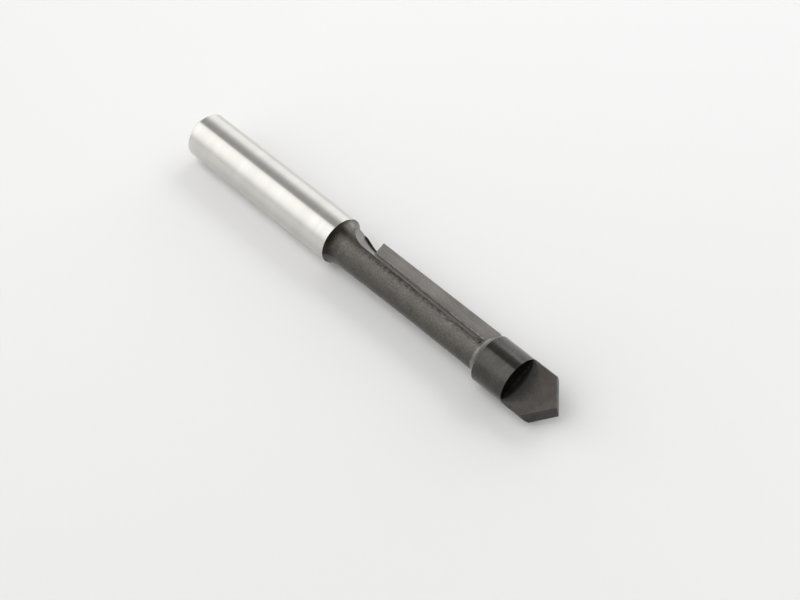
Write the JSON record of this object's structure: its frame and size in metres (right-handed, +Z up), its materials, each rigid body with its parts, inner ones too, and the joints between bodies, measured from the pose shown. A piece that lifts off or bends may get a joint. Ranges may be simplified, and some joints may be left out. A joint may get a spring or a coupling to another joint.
{
  "type": "panel pilot router bit",
  "caption": "Straight router bit with a cylindrical shank, a slim dark body carrying a brazed carbide edge, a plain cylindrical pilot and a flat spade drill point.",
  "frame": {"origin": "on the bit's axis, in the flat rear face of the shank", "axes": "+X along the axis from the shank to the drill point, +Z up with the bit lying on its shank and pilot, gullet facing up and towards -Y"},
  "size_m": [0.0635, 0.0064, 0.0064],
  "materials": {
    "steel": "shank ground bright, all beyond the shoulder blackened and blasted to a speckled satin grey, pilot and point ground smooth and dark",
    "carbide": "fine matt grey sintered carbide, ground edge"
  },
  "bodies": {
    "root": {"steel_body": "steel", "carbide_strip": "carbide"}
  },
  "joints": []
}
